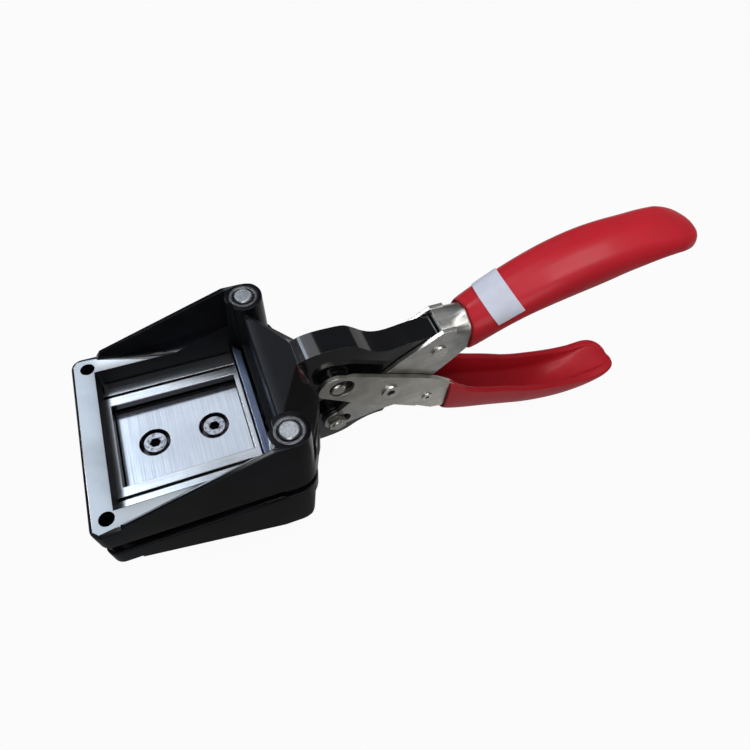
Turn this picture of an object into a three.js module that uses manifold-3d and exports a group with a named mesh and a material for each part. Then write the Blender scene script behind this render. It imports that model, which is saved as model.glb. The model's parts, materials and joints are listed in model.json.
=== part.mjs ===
// A hand-held photo punch. Squeezing the two red handles lifts the lower casting on its two guide
// posts, and its ground punch block pushes the photograph up through the die in the upper casting.
// Millimetres, +Z up, +X from the die towards the handles. Every place is written from the middle of
// the die opening on the die's upper face, and the whole tool is moved once, at the end, so that
// its origin is the middle of the front pad's upper face.
import * as THREE from 'three';
import { mergeVertices } from 'three/addons/utils/BufferGeometryUtils.js';
import { ConvexGeometry } from 'three/addons/geometries/ConvexGeometry.js';
import Module from 'manifold-3d';

const wasm = await Module();
wasm.setup();

// The photograph that the tool cuts, and the die set that cuts it.
const cutLength = 40;
const cutWidth = 30;
const punchClearance = 0.2;
const dieThickness = 3;
const dieFront = -21.4;
const dieRear = 24.2;
const dieFrontEar = { reach: 5.6, halfWidth: 21 };
const dieRearEar = { reach: 6.8, halfWidth: 8 };
const dieGroove = { fromOpening: 3.1, width: 1.1, depth: 1 };
const stopBar = { thickness: 3.8, height: 5, chamfer: 0.8, gapBehind: 0.3, bossGap: 0.6 };
const punchHeight = 3;
const throatGap = 4.8;

// The two castings: each is a slab with two side ribs that climb to the guide bosses, a hipped rear
// block between the bosses, and a bar that runs back between the handle's side plates.
const castingFront = -28.7;
const castingHalfWidth = 31.5;
const sideWall = 6.9;
const upperPad = 9.6;
const upperRib = 27.3;
const lowerPad = 8.3;
const lowerRib = 22.5;
const dieProud = 0.3;
const frontCornerRadius = 3.5;
const rearCornerRadius = 8;
const edgeRound = 0.9;
const windowFront = -21.7;
const windowRear = 25.4;
const windowHalfWidth = castingHalfWidth - sideWall;
const windowCornerRadius = 1.5;
const recessGap = 0.3;
const dieHalfWidth = windowHalfWidth - recessGap;
const cornerHoleInset = 4.95;
const cornerHoleRadius = 2.2;
const ribFromFront = 9.7;
const ribStart = { crest: 0.8, foot: 2, ramp: 1.5 };
const upperRibStep = 2;
const lowerRibStep = 0;
const ribCrest = 1.2;
const ribSlant = 0.53;
const guideX = 29.3;
const guideInset = 5.45;
const guideY = castingHalfWidth - guideInset;
const bossTopRadius = 6;
const bossFootRadius = 6.9;
const hullRound = 0.9;
const deck = {
  crestX: 28.3,
  crestHalfWidth: 20,
  noseX: 37.6,
  noseHalfWidth: 3.6,
  cornerX: 41.6,
  cornerHalfWidth: 11.6,
  footX: 36,
  footHalfWidth: 22.7,
};
const deckHeightShares = { crest: 0.87, nose: 0.93, corner: 0.57, foot: 0.42 };
const platePocket = { front: 40.4, halfWidth: 9.5 };

// The pivots of the handle linkage, all parallel to Y.
const mainPivot = { x: 87, z: 11.1 };
const linkPivot = { x: 69.5, z: -2.1 };
const fulcrum = { x: 50, z: 8.6 };
const liftPivot = { x: 50.3, z: -14.3 };
const barHalfThickness = 4.5;
const armRoot = 31;
const armEndRadius = 7.5;
const armHump = 27.9;
const armTopShares = [[0.02, 0.86], [0.13, 0.93], [0.18, 0.975], [0.25, 1], [0.35, 1], [0.44, 0.98], [0.5, 0.9],
  [0.56, 0.8], [0.62, 0.735], [0.7, 0.71], [0.82, 0.74]];
const armUnderside = { fromEnd: 12, afterFulcrum: 8, rootX: 41 };
const armClearOfLink = 5.6;
const fulcrumBossRadius = 5.2;
const tailEnd = 70.8;
const tailHump = 20.6;
const tailTopShares = [[0.02, 0.86], [0.2, 0.96], [0.36, 1], [0.52, 0.96], [0.62, 0.885], [0.7, 0.775], [0.8, 0.685],
  [0.88, 0.65], [0.97, 0.645]];
const tailBar = 5.2;
const liftLugRadius = 6;

// The pressed steel handles. The upper one's side plates run inside those of the lower one.
const sheet = 1.5;
const plateGap = 0.3;
const handleCorner = 2.4;
const lowerHandleCorner = 1.4;
const upperSheetHalfWidth = barHalfThickness + plateGap + sheet;
const lowerSheet = 1.6;
const lowerHalfSpan = upperSheetHalfWidth + plateGap + lowerSheet;
const liftSlot = { length: 8.4, width: 5.6, behindPivot: 1.4 };
const fulcrumSlot = { length: 8.8, width: 8.4, behindPivot: 1.3 };
const lowerPlateDrop = { heel: 8.4, middle: 9.9 };

// The handles beyond the pivots: place along X, height of the closed side, height of the open side and
// half width, first of the bare sheet and then of the dipped grip.
const upperBare = [[mainPivot.x, 21, -2.2, upperSheetHalfWidth], [91, 21, 1.7, upperSheetHalfWidth]];
const upperGrip = [[97, 22.6, 9.4, 8.8], [103, 25.6, 14.6, 9.6], [113, 30.9, 21.6, 10.4], [127, 37.2, 26.6, 11],
  [143, 41.4, 30.8, 11.3], [160, 42.6, 35.8, 11.1], [174, 41.6, 37, 10.8], [183, 39.8, 36.3, 10.2]];
const lowerBare = [[80, -17.3, 1.5, lowerHalfSpan], [88.5, -23.6, -3.2, lowerHalfSpan]];
const lowerGrip = [[93.5, -28, -5.2, 10.2], [101, -31, -12.8, 10.6], [110, -34, -18.4, 10.8],
  [124, -39.4, -24.6, 10.8], [136, -43.9, -30.6, 10.9], [148, -46.9, -34.2, 10.9], [160, -48.4, -37.2, 10.8],
  [172, -47.8, -38.6, 10.5], [187, -43.7, -37.2, 9.9]];
const vinyl = 1.4;
const gripLiner = 1;
const gripCorner = 6.5;
const gripCrown = 0.9;
const gripStep = 5;
const gripTip = 10;
const tipSteps = 5;
const tipTurnShare = 0.93;
const tipBluntness = 0.7;
const hollowFade = 38;
const leastHollowShare = 0.04;
const fullestCornerShare = 0.9;
const crownShoulderShare = 0.75;
const leastDepth = 0.3;
const leastInnerShare = 0.4;
const steelStopsBefore = 24;
const steelGap = 0.3;
const label = { rows: 6, start: 8.3, width: 8.2, aboveRim: 7.6, rise: 20, lean: 16, thickness: 0.2, gap: 0.12 };

// Fasteners, pins and springs.
const postRadius = 3;
const postProud = 0.5;
const bushRadius = 4.5;
const bushBore = 3.15;
const bushChamfer = 0.6;
const pressGap = 0.1;
const fulcrumPinRadius = 2.5;
const fulcrumPinProud = 0.5;
const pinChamfer = 0.4;
const mainRivet = { radius: 2.5, head: 3, headHeight: 0.7 };
const linkRivet = { radius: 2.5, bore: 1.5, head: 3.4, headHeight: 0.7 };
const springPin = { behindLink: 16, belowLink: 11.4, radius: 1.5, bore: 0.8, head: 2.2, headHeight: 0.5 };
const liftBolt = { radius: 2, head: 3.6, headHeight: 2.6 };
const nut = { acrossFlats: 6, height: 1.8 };
const punchScrew = { x: 9.5, radius: 2, head: 3.5, headHeight: 2.6, length: 7, well: 4.9, sunk: 0.3 };
const hexSocket = { radius: 1.73, depth: 1.6 };
const dieScrew = { radius: 1.5, head: 2.8, headHeight: 1.5, length: 7 };
const dieScrewInset = { front: 3, frontSide: 9, rear: 3.9, rearSide: 3.4 };
const threadGap = 0.15;
const spring = { x: 33.4, y: 13.6, radius: 3.4, wire: 1, curls: 7, pocket: 4.6, depth: 13.3, seatGap: 0.3 };
const curlSteps = 8;
const wireSides = 5;
const cutOverrun = 2;
const arcSteps = 4;
const boreSides = 24;
const bossSides = 40;
const screwSides = 16;

// Faces and heights that follow from the sizes above.
const upperFace = dieProud - dieThickness;
const punchTop = -(dieThickness + throatGap - punchHeight - dieProud);
const lowerFace = punchTop - punchHeight;
const bossTop = upperFace + upperRib;
const padTop = upperFace + upperPad;
const springPinPlace = { x: linkPivot.x + springPin.behindLink, z: linkPivot.z - springPin.belowLink };

const finishes = {
  blackEnamel: { color: 0x0b0c10, roughness: 0.16, metalness: 0 },
  groundSteel: { color: 0xb9bcc0, roughness: 0.25, metalness: 1 },
  blackOxide: { color: 0x3a3b3d, roughness: 0.35, metalness: 1 },
  nickel: { color: 0xb4b2a6, roughness: 0.3, metalness: 1 },
  brightSteel: { color: 0xcfd0d2, roughness: 0.2, metalness: 1 },
  redVinyl: { color: 0xc4141f, roughness: 0.28, metalness: 0 },
  whitePaper: { color: 0xf2f1ec, roughness: 0.7, metalness: 0 },
};

// A closed geometry becomes a solid that can be joined and cut.
function solid(geometry) {
  const bare = geometry.index ? geometry.toNonIndexed() : geometry.clone();
  bare.deleteAttribute('normal');
  bare.deleteAttribute('uv');
  const merged = mergeVertices(bare, 1e-4);
  return new wasm.Manifold(new wasm.Mesh({
    numProp: 3,
    vertProperties: new Float32Array(merged.attributes.position.array),
    triVerts: new Uint32Array(merged.index.array),
  }));
}

function join(pieces) {
  return pieces.reduce((whole, piece) => whole.add(piece));
}

function cut(body, tools) {
  return tools.reduce((rest, tool) => rest.subtract(tool), body);
}

const tool = new THREE.Group();

function addPiece(name, body, finish) {
  const mesh = body.getMesh();
  const geometry = new THREE.BufferGeometry();
  geometry.setAttribute('position', new THREE.BufferAttribute(new Float32Array(mesh.vertProperties), mesh.numProp));
  geometry.setIndex(new THREE.BufferAttribute(new Uint32Array(mesh.triVerts), 1));
  geometry.computeVertexNormals();
  const piece = new THREE.Mesh(geometry, new THREE.MeshStandardMaterial(finishes[finish]));
  piece.name = name;
  tool.add(piece);
}

// Building blocks: prisms along Z and along Y, turned pieces on either axis, and hulls of small balls.
function prismZ(shape, zLow, zHigh, round = 0) {
  const bevel = round > 0;
  const geometry = new THREE.ExtrudeGeometry(shape, {
    depth: zHigh - zLow - round - round,
    curveSegments: arcSteps,
    bevelEnabled: bevel,
    bevelThickness: round,
    bevelSize: round,
    bevelOffset: -round,
    bevelSegments: 2,
  });
  geometry.translate(0, 0, zLow + round);
  return solid(geometry);
}

function prismY(shape, yLow, yHigh) {
  const geometry = new THREE.ExtrudeGeometry(shape, { depth: yHigh - yLow, bevelEnabled: false, curveSegments: arcSteps });
  geometry.rotateX(Math.PI / 2);
  geometry.translate(0, yHigh, 0);
  return solid(geometry);
}

function box(xLow, xHigh, yLow, yHigh, zLow, zHigh) {
  const geometry = new THREE.BoxGeometry(xHigh - xLow, yHigh - yLow, zHigh - zLow);
  geometry.translate((xLow + xHigh) / 2, (yLow + yHigh) / 2, (zLow + zHigh) / 2);
  return solid(geometry);
}

// A geometry whose faces may point inwards is turned inside out before it becomes a solid.
function solidEitherWay(geometry) {
  const body = solid(geometry);
  return body.volume() > 0 ? body : solid(insideOut(geometry));
}

function insideOut(geometry) {
  const open = geometry.index ? geometry.toNonIndexed() : geometry.clone();
  const place = open.attributes.position;
  const corners = [];
  for (let i = 0; i < place.count; i += 3) {
    for (const k of [i, i + 2, i + 1]) {
      corners.push(place.getX(k), place.getY(k), place.getZ(k));
    }
  }
  const flipped = new THREE.BufferGeometry();
  flipped.setAttribute('position', new THREE.BufferAttribute(new Float32Array(corners), 3));
  return flipped;
}

// A turned piece: its profile is a list of [radius, height] points that starts and ends on the axis,
// or closes on itself. Heights run along Z, or along Y for what lies across the tool.
function lathe(profile, sides) {
  return new THREE.LatheGeometry(profile.map(([r, h]) => new THREE.Vector2(r, h)), sides);
}

function turnedZ(profile, x, y, sides = boreSides) {
  return solidEitherWay(lathe(profile, sides).rotateX(Math.PI / 2).translate(x, y, 0));
}

function turnedY(profile, x, z, sides = boreSides) {
  return solidEitherWay(lathe(profile, sides).translate(x, 0, z));
}

function rodZ(radius, x, y, zLow, zHigh, sides = boreSides) {
  return turnedZ([[0, zLow], [radius, zLow], [radius, zHigh], [0, zHigh]], x, y, sides);
}

function rodY(radius, x, z, halfLength, sides = boreSides) {
  return turnedY([[0, -halfLength], [radius, -halfLength], [radius, halfLength], [0, halfLength]], x, z, sides);
}

function hull(points, round) {
  const cloud = [];
  const ball = new THREE.IcosahedronGeometry(round, 1).attributes.position;
  for (const [x, y, z] of points) {
    for (let i = 0; i < ball.count; i += 1) {
      cloud.push(new THREE.Vector3(x + ball.getX(i), y + ball.getY(i), z + ball.getZ(i)));
    }
  }
  return solid(new ConvexGeometry(cloud));
}

function wedge(points) {
  return solid(new ConvexGeometry(points.map(([x, y, z]) => new THREE.Vector3(x, y, z))));
}

function roundedRectangle(xLow, xHigh, yLow, yHigh, radius) {
  const shape = new THREE.Shape();
  shape.absarc(xHigh - radius, yHigh - radius, radius, 0, Math.PI / 2);
  shape.absarc(xLow + radius, yHigh - radius, radius, Math.PI / 2, Math.PI);
  shape.absarc(xLow + radius, yLow + radius, radius, Math.PI, Math.PI * 1.5);
  shape.absarc(xHigh - radius, yLow + radius, radius, Math.PI * 1.5, Math.PI * 2);
  return shape;
}

// Two half circles joined by straight sides. A squeeze shifts the plate towards the die, so the slot's
// middle lies a little behind its pin while the tool is at rest.
function slotFor(pivot, { length, width, behindPivot }) {
  const middle = pivot.x + behindPivot;
  const reach = (length - width) / 2;
  const shape = new THREE.Shape();
  shape.absarc(middle + reach, pivot.z, width / 2, -Math.PI / 2, Math.PI / 2);
  shape.absarc(middle - reach, pivot.z, width / 2, Math.PI / 2, Math.PI * 1.5);
  return prismY(shape, -castingHalfWidth, castingHalfWidth);
}

// The plan of a casting, with round front corners, and a round corner outside each guide boss.
function castingPlan() {
  const front = castingFront;
  const halfWidth = castingHalfWidth;
  const rearX = guideX - bossTopRadius + rearCornerRadius - frontCornerRadius / 2;
  const cornerY = halfWidth - rearCornerRadius;
  const plan = new THREE.Shape();
  plan.absarc(front + frontCornerRadius, frontCornerRadius - halfWidth, frontCornerRadius, Math.PI, Math.PI * 1.5);
  plan.absarc(rearX, -cornerY, rearCornerRadius, Math.PI * 1.5, Math.PI * 2);
  plan.lineTo(deck.cornerX + hullRound, -deck.cornerHalfWidth);
  plan.lineTo(deck.cornerX + hullRound, deck.cornerHalfWidth);
  plan.absarc(rearX, cornerY, rearCornerRadius, 0, Math.PI / 2);
  plan.absarc(front + frontCornerRadius, halfWidth - frontCornerRadius, frontCornerRadius, Math.PI / 2, Math.PI);
  return plan;
}

// Heights in a casting are measured from its inner face: up is 1 for the upper one and -1 for the lower.
function castingBody({ face, up, pad, rib, ribStep }) {
  const level = (height) => face + up * height;
  const span = (low, high) => [Math.min(level(low), level(high)), Math.max(level(low), level(high))];
  const plan = castingPlan();
  const slab = prismZ(plan, ...span(0, pad), edgeRound);
  const raised = [];
  for (const side of [-1, 1]) {
    const wall = side * castingHalfWidth;
    const inward = (distance) => wall - side * distance;
    const ribFront = castingFront + ribFromFront;
    const crestX = guideX - bossTopRadius;
    const inner = ribCrest + ribSlant * (rib - pad);
    const low = level(pad / 2);
    raised.push(wedge([
      [ribFront - ribStart.ramp, wall, low], [ribFront - ribStart.ramp, wall, level(pad)],
      [ribFront - ribStart.ramp, inward(ribStart.foot), level(pad)],
      [ribFront, wall, level(pad + ribStep)], [ribFront, inward(ribStart.crest), level(pad + ribStep)],
      [ribFront, inward(ribStart.foot), level(pad)], [ribFront, inward(ribStart.foot), low],
      ...[crestX, guideX].flatMap((x) => [
        [x, wall, low], [x, wall, level(rib)], [x, inward(ribCrest), level(rib)],
        [x, inward(inner), level(pad)], [x, inward(inner), low],
      ]),
    ]));
    const boss = new THREE.CylinderGeometry(
      up > 0 ? bossTopRadius : bossFootRadius, up > 0 ? bossFootRadius : bossTopRadius, rib, bossSides);
    boss.rotateX(Math.PI / 2);
    boss.translate(guideX, side * guideY, level(rib / 2));
    raised.push(solid(boss));
  }
  const height = (share) => level(rib * share);
  const both = (x, y, z) => [[x, y, z], [x, -y, z]];
  const outline = [
    [deck.crestX, deck.crestHalfWidth, height(deckHeightShares.crest)],
    [deck.noseX, deck.noseHalfWidth, height(deckHeightShares.nose)],
    [deck.cornerX, deck.cornerHalfWidth, height(deckHeightShares.corner)],
    [deck.footX, deck.footHalfWidth, height(deckHeightShares.foot)],
  ];
  raised.push(hull(outline.flatMap(([x, y, z]) => [...both(x, y, z), ...both(x, y, level(hullRound))]), hullRound));
  const within = prismZ(plan, ...span(0, rib));
  return join([slab, join(raised).intersect(within)]);
}

// The upper casting's bar: its top follows the hump and the waist, and it ends round the main pivot.
function armShape() {
  const reach = mainPivot.x - armRoot;
  const shape = new THREE.Shape();
  shape.moveTo(armRoot, upperFace);
  const top = armTopShares.map(([along, high]) => new THREE.Vector2(armRoot + reach * along, upperFace + armHump * high));
  shape.lineTo(top[0].x, top[0].y);
  shape.splineThru(top.slice(1));
  shape.absarc(mainPivot.x, mainPivot.z, armEndRadius, Math.PI * 0.55, -Math.PI / 2, true);
  shape.lineTo(mainPivot.x - armUnderside.fromEnd, linkPivot.z + armClearOfLink);
  shape.lineTo(fulcrum.x + armUnderside.afterFulcrum, linkPivot.z + armClearOfLink);
  shape.lineTo(armUnderside.rootX, upperFace);
  return shape;
}

// The lower casting's bar: the same hump turned over, with a lug for the lift bolt on its inner side.
function tailShape() {
  const reach = tailEnd - armRoot;
  const shape = new THREE.Shape();
  shape.moveTo(armRoot, lowerFace);
  const low = tailTopShares.map(([along, high]) => new THREE.Vector2(armRoot + reach * along, lowerFace - tailHump * high));
  shape.lineTo(low[0].x, low[0].y);
  shape.splineThru(low.slice(1));
  const last = low[low.length - 1];
  shape.lineTo(tailEnd, last.y + tailBar / 2);
  shape.lineTo(tailEnd, last.y + tailBar);
  shape.lineTo(liftPivot.x + liftLugRadius + tailBar / 2, last.y + tailBar);
  shape.absarc(liftPivot.x, liftPivot.z, liftLugRadius, 0, Math.PI * 0.75);
  return shape;
}

function pocketsForPlates(zLow, zHigh) {
  const pocketRear = deck.cornerX + hullRound + cutOverrun;
  return [-1, 1].map((side) => box(
    platePocket.front, pocketRear,
    Math.min(side * barHalfThickness, side * platePocket.halfWidth),
    Math.max(side * barHalfThickness, side * platePocket.halfWidth), zLow, zHigh));
}

function upperCasting() {
  const body = castingBody({
    face: upperFace, up: 1, pad: upperPad, rib: upperRib, ribStep: upperRibStep,
  });
  const pockets = pocketsForPlates(upperFace - cutOverrun, bossTop);
  const arm = prismY(armShape(), -barHalfThickness, barHalfThickness);
  const pinBoss = rodY(fulcrumBossRadius, fulcrum.x, fulcrum.z, upperSheetHalfWidth);
  const window = prismZ(
    roundedRectangle(windowFront, windowRear, -windowHalfWidth, windowHalfWidth, windowCornerRadius),
    upperFace - cutOverrun, bossTop + cutOverrun);
  const holes = [];
  for (const side of [-1, 1]) {
    holes.push(rodZ(bushRadius + pressGap, guideX, side * guideY, upperFace - cutOverrun, bossTop + cutOverrun));
    holes.push(rodZ(cornerHoleRadius, castingFront + cornerHoleInset, side * (castingHalfWidth - cornerHoleInset),
      upperFace - cutOverrun, padTop + cutOverrun));
  }
  for (const [x, y] of dieScrewPlaces()) {
    holes.push(rodZ(dieScrew.radius + threadGap, x, y, upperFace - cutOverrun,
      dieScrew.length - dieThickness + threadGap, screwSides));
  }
  holes.push(rodY(fulcrumPinRadius + pressGap, fulcrum.x, fulcrum.z, castingHalfWidth));
  holes.push(rodY(mainRivet.radius + plateGap, mainPivot.x, mainPivot.z, castingHalfWidth));
  return cut(join([cut(body, pockets), arm, pinBoss]), [window, dieSeat(), ...holes]);
}

// The die plate lies in the casting from below, held by an ear in front and one behind the window.
function diePlan(grow) {
  const front = dieFront - grow;
  const rear = dieRear + grow;
  const near = [
    [front - dieFrontEar.reach, -dieFrontEar.halfWidth - grow], [front, -dieFrontEar.halfWidth - grow],
    [front, -dieHalfWidth - grow], [rear, -dieHalfWidth - grow], [rear, -dieRearEar.halfWidth - grow],
    [rear + dieRearEar.reach, -dieRearEar.halfWidth - grow],
  ];
  const far = near.map(([x, y]) => [x, -y]).reverse();
  return new THREE.Shape([...near, ...far].map(([x, y]) => new THREE.Vector2(x, y)));
}

function dieSeat() {
  return prismZ(diePlan(recessGap), upperFace - cutOverrun, 0);
}

function dieScrewPlaces() {
  const { front, frontSide, rear, rearSide } = dieScrewInset;
  return [-1, 1].flatMap((side) => [
    [dieFront - front, side * (dieFrontEar.halfWidth - frontSide)],
    [dieRear + rear, side * (dieRearEar.halfWidth - rearSide)],
  ]);
}

function diePlate() {
  const plan = diePlan(0);
  const hole = new THREE.Path();
  const x = cutLength / 2;
  const y = cutWidth / 2;
  hole.moveTo(-x, -y);
  hole.lineTo(x, -y);
  hole.lineTo(x, y);
  hole.lineTo(-x, y);
  plan.holes.push(hole);
  const tools = [];
  for (const side of [-1, 1]) {
    const near = side * (y + dieGroove.fromOpening);
    const far = near + side * dieGroove.width;
    tools.push(box(dieFront - cutOverrun, stopBarFront(), Math.min(near, far), Math.max(near, far),
      -dieGroove.depth, cutOverrun));
  }
  for (const [sx, sy] of dieScrewPlaces()) {
    tools.push(screwSeat(sx, sy));
  }
  return cut(prismZ(plan, -dieThickness, 0), tools);
}

function screwSeat(x, y) {
  const wide = dieScrew.head + threadGap;
  const slim = dieScrew.radius + threadGap;
  return turnedZ([[0, -dieThickness - cutOverrun], [wide, -dieThickness - cutOverrun], [wide, -dieThickness],
    [slim, dieScrew.headHeight - dieThickness], [slim, cutOverrun], [0, cutOverrun]], x, y, screwSides);
}

function dieScrewBody(x, y) {
  const top = dieScrew.length - dieThickness;
  return turnedZ([[0, -dieThickness], [dieScrew.head, -dieThickness], [dieScrew.radius, dieScrew.headHeight - dieThickness],
    [dieScrew.radius, top], [0, top]], x, y, screwSides);
}

// The steel bar behind the opening: its long edges are bevelled, and its ends are cut round the bosses.
function stopBarFront() {
  return windowRear - stopBar.gapBehind - stopBar.thickness;
}

function stopBarBody() {
  const front = stopBarFront();
  const rear = front + stopBar.thickness;
  const { height, chamfer } = stopBar;
  const section = new THREE.Shape();
  section.moveTo(front, 0);
  section.lineTo(rear, 0);
  section.lineTo(rear, height - chamfer);
  section.lineTo(rear - chamfer, height);
  section.lineTo(front + chamfer, height);
  section.lineTo(front, height - chamfer);
  const bosses = [-1, 1].map((side) => rodZ(bossFootRadius + stopBar.bossGap, guideX, side * guideY,
    -cutOverrun, height + cutOverrun));
  return cut(prismY(section, recessGap - windowHalfWidth, windowHalfWidth - recessGap), bosses);
}

function bushBody(side) {
  const low = upperFace;
  return turnedZ([[bushBore, low], [bushRadius, low], [bushRadius, bossTop], [bushBore + bushChamfer, bossTop],
    [bushBore, bossTop - bushChamfer], [bushBore, low]], guideX, side * guideY);
}

function postBody(side) {
  const top = bossTop + postProud;
  const low = lowerFace - lowerRib + postProud;
  return turnedZ([[0, low], [postRadius, low], [postRadius, top - pinChamfer], [postRadius - pinChamfer, top], [0, top]],
    guideX, side * guideY);
}

function lowerCasting() {
  const body = castingBody({
    face: lowerFace, up: -1, pad: lowerPad, rib: lowerRib, ribStep: lowerRibStep,
  });
  const pockets = pocketsForPlates(lowerFace - lowerRib, lowerFace + cutOverrun);
  const tail = prismY(tailShape(), -barHalfThickness, barHalfThickness);
  const holes = [rodY(liftBolt.radius + pressGap, liftPivot.x, liftPivot.z, castingHalfWidth)];
  for (const side of [-1, 1]) {
    holes.push(rodZ(postRadius + pressGap, guideX, side * guideY, lowerFace - lowerRib - cutOverrun,
      lowerFace + cutOverrun));
    holes.push(rodZ(spring.pocket, spring.x, side * spring.y, lowerFace - spring.depth, lowerFace + cutOverrun));
    holes.push(rodZ(punchScrew.radius + threadGap, side * punchScrew.x, 0, punchScrewFoot() - threadGap,
      lowerFace + cutOverrun, screwSides));
  }
  return cut(join([cut(body, pockets), tail]), holes);
}

function punchBlock() {
  const x = cutLength / 2 - punchClearance;
  const y = cutWidth / 2 - punchClearance;
  const wells = [-1, 1].flatMap((side) => [
    rodZ(punchScrew.well, side * punchScrew.x, 0, punchHeadSeat(), punchTop + cutOverrun),
    rodZ(punchScrew.radius + threadGap, side * punchScrew.x, 0, lowerFace - cutOverrun, punchTop, screwSides),
  ]);
  return cut(box(-x, x, -y, y, lowerFace, punchTop), wells);
}

function punchHeadSeat() {
  return punchTop - punchScrew.sunk - punchScrew.headHeight;
}

function punchScrewFoot() {
  return punchHeadSeat() - punchScrew.length;
}

// A cap screw with a hexagon socket in its head.
function punchScrewBody(side) {
  const seat = punchHeadSeat();
  const top = seat + punchScrew.headHeight;
  const blank = turnedZ([[0, punchScrewFoot()], [punchScrew.radius, punchScrewFoot()], [punchScrew.radius, seat],
    [punchScrew.head, seat], [punchScrew.head, top - pinChamfer], [punchScrew.head - pinChamfer, top], [0, top]],
  side * punchScrew.x, 0);
  return cut(blank, [rodZ(hexSocket.radius, side * punchScrew.x, 0, top - hexSocket.depth, top + cutOverrun, 6)]);
}

// Wire springs: the path climbs by equal turns, and both ends run straight for one wire thickness.
class CoilPath extends THREE.Curve {
  constructor(low, high) {
    super();
    this.low = low;
    this.high = high;
    this.turnsLength = spring.curls * 2 * Math.PI * spring.radius;
    this.whole = this.turnsLength + spring.wire + spring.wire;
  }

  getPoint(t, target = new THREE.Vector3()) {
    const travelled = t * this.whole - spring.wire;
    const along = THREE.MathUtils.clamp(travelled, 0, this.turnsLength);
    const beyond = travelled - along;
    const angle = along / spring.radius;
    const climb = THREE.MathUtils.lerp(this.low, this.high, along / this.turnsLength);
    return target.set(
      spring.radius * Math.cos(angle) - beyond * Math.sin(angle),
      spring.radius * Math.sin(angle) + beyond * Math.cos(angle), climb);
  }
}

function springEnds() {
  const low = lowerFace - spring.depth + spring.seatGap + spring.wire / 2;
  const high = upperFace - spring.seatGap - spring.wire / 2;
  return [low, high];
}

function springBody(side) {
  const path = new CoilPath(...springEnds());
  const corner = (i) => (Math.PI * 2 * i) / wireSides;
  const section = new THREE.Shape(Array.from({ length: wireSides }, (_, i) => new THREE.Vector2(
    Math.cos(corner(i)), Math.sin(corner(i))).multiplyScalar(spring.wire / 2)));
  const geometry = new THREE.ExtrudeGeometry(section, {
    steps: spring.curls * curlSteps + 2, extrudePath: path, bevelEnabled: false,
  });
  geometry.translate(spring.x, side * spring.y, 0);
  return solidEitherWay(geometry);
}

function leastSpringGap() {
  const path = new CoilPath(...springEnds());
  const points = path.getPoints(spring.curls * curlSteps);
  let least = Infinity;
  points.forEach((p, i) => {
    for (let j = i + curlSteps / 2; j < points.length; j += 1) {
      least = Math.min(least, p.distanceTo(points[j]) - spring.wire);
    }
  });
  return least;
}

// The handles: a sheet channel is swept through upright sections. A section has its place along X, the
// height of its closed and of its open side, its half width, its corner radius and its crown.
function section([x, closed, open, halfWidth], corner, crown) {
  return { x, closed, open, halfWidth, corner, crown };
}

function setIn({ x, closed, open, halfWidth, corner, crown }, amount, rimAmount = 0) {
  const inwards = Math.sign(open - closed);
  return {
    x,
    closed: closed + inwards * amount,
    open: open - inwards * rimAmount,
    halfWidth: Math.max(halfWidth - amount, halfWidth * leastInnerShare),
    corner: corner - amount,
    crown,
  };
}

function sectionLine({ x, closed, open, halfWidth, corner, crown }, inwards) {
  const depth = Math.max(inwards * (open - closed), leastDepth);
  const floor = open - inwards * depth;
  const r = THREE.MathUtils.clamp(corner, leastDepth, Math.min(halfWidth, depth) * fullestCornerShare);
  const half = [[-halfWidth, open]];
  for (let i = 0; i <= arcSteps; i += 1) {
    const a = (Math.PI / 2) * (i / arcSteps);
    half.push([-halfWidth + r - r * Math.cos(a), floor + inwards * (r - r * Math.sin(a))]);
  }
  half.push([(r - halfWidth) / 2, floor - inwards * crown * crownShoulderShare]);
  const other = half.map(([y, z]) => [-y, z]).reverse();
  return [...half, [0, floor - inwards * crown], ...other].map(([y, z]) => [x, y, z]);
}

function loft(rings) {
  const count = rings[0].length;
  const half = count / 2;
  const places = rings.flat(2);
  const index = [];
  const quad = (a, b, c, d) => index.push(a, b, c, a, c, d);
  for (let r = 0; r + 1 < rings.length; r += 1) {
    for (let i = 0; i < count; i += 1) {
      const next = (i + 1) % count;
      quad(r * count + i, r * count + next, (r + 1) * count + next, (r + 1) * count + i);
    }
  }
  const last = (rings.length - 1) * count;
  for (let i = 0; i + 1 < half; i += 1) {
    const inner = count - 1 - i;
    quad(i, inner, inner - 1, i + 1);
    quad(last + i, last + i + 1, last + inner - 1, last + inner);
  }
  const geometry = new THREE.BufferGeometry();
  geometry.setAttribute('position', new THREE.BufferAttribute(new Float32Array(places), 3));
  geometry.setIndex(index);
  return solidEitherWay(geometry);
}

function channel(sections, wall, hollowShareAt = () => 1) {
  return loft(sections.map((outer) => {
    const inwards = Math.sign(outer.open - outer.closed);
    const inner = setIn(outer, wall);
    const share = hollowShareAt(outer.x);
    inner.closed = THREE.MathUtils.lerp(inner.open, inner.closed, share);
    inner.crown *= share;
    return [...sectionLine(outer, inwards), ...sectionLine(inner, inwards).reverse()];
  }));
}

// Smooth sections through the listed ones, at even steps.
function sectionsAlong(table, end, corner, crown) {
  const start = table[0][0];
  const curve = new THREE.CubicInterpolant(
    table.map((row) => row[0]), table.flatMap((row) => row.slice(1)), 3, new Float64Array(3));
  const count = Math.round((end - start) / gripStep);
  return Array.from({ length: count + 1 }, (_, i) => {
    const x = start + ((end - start) * i) / count;
    return section([x, ...curve.evaluate(x)], corner, crown);
  });
}

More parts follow.
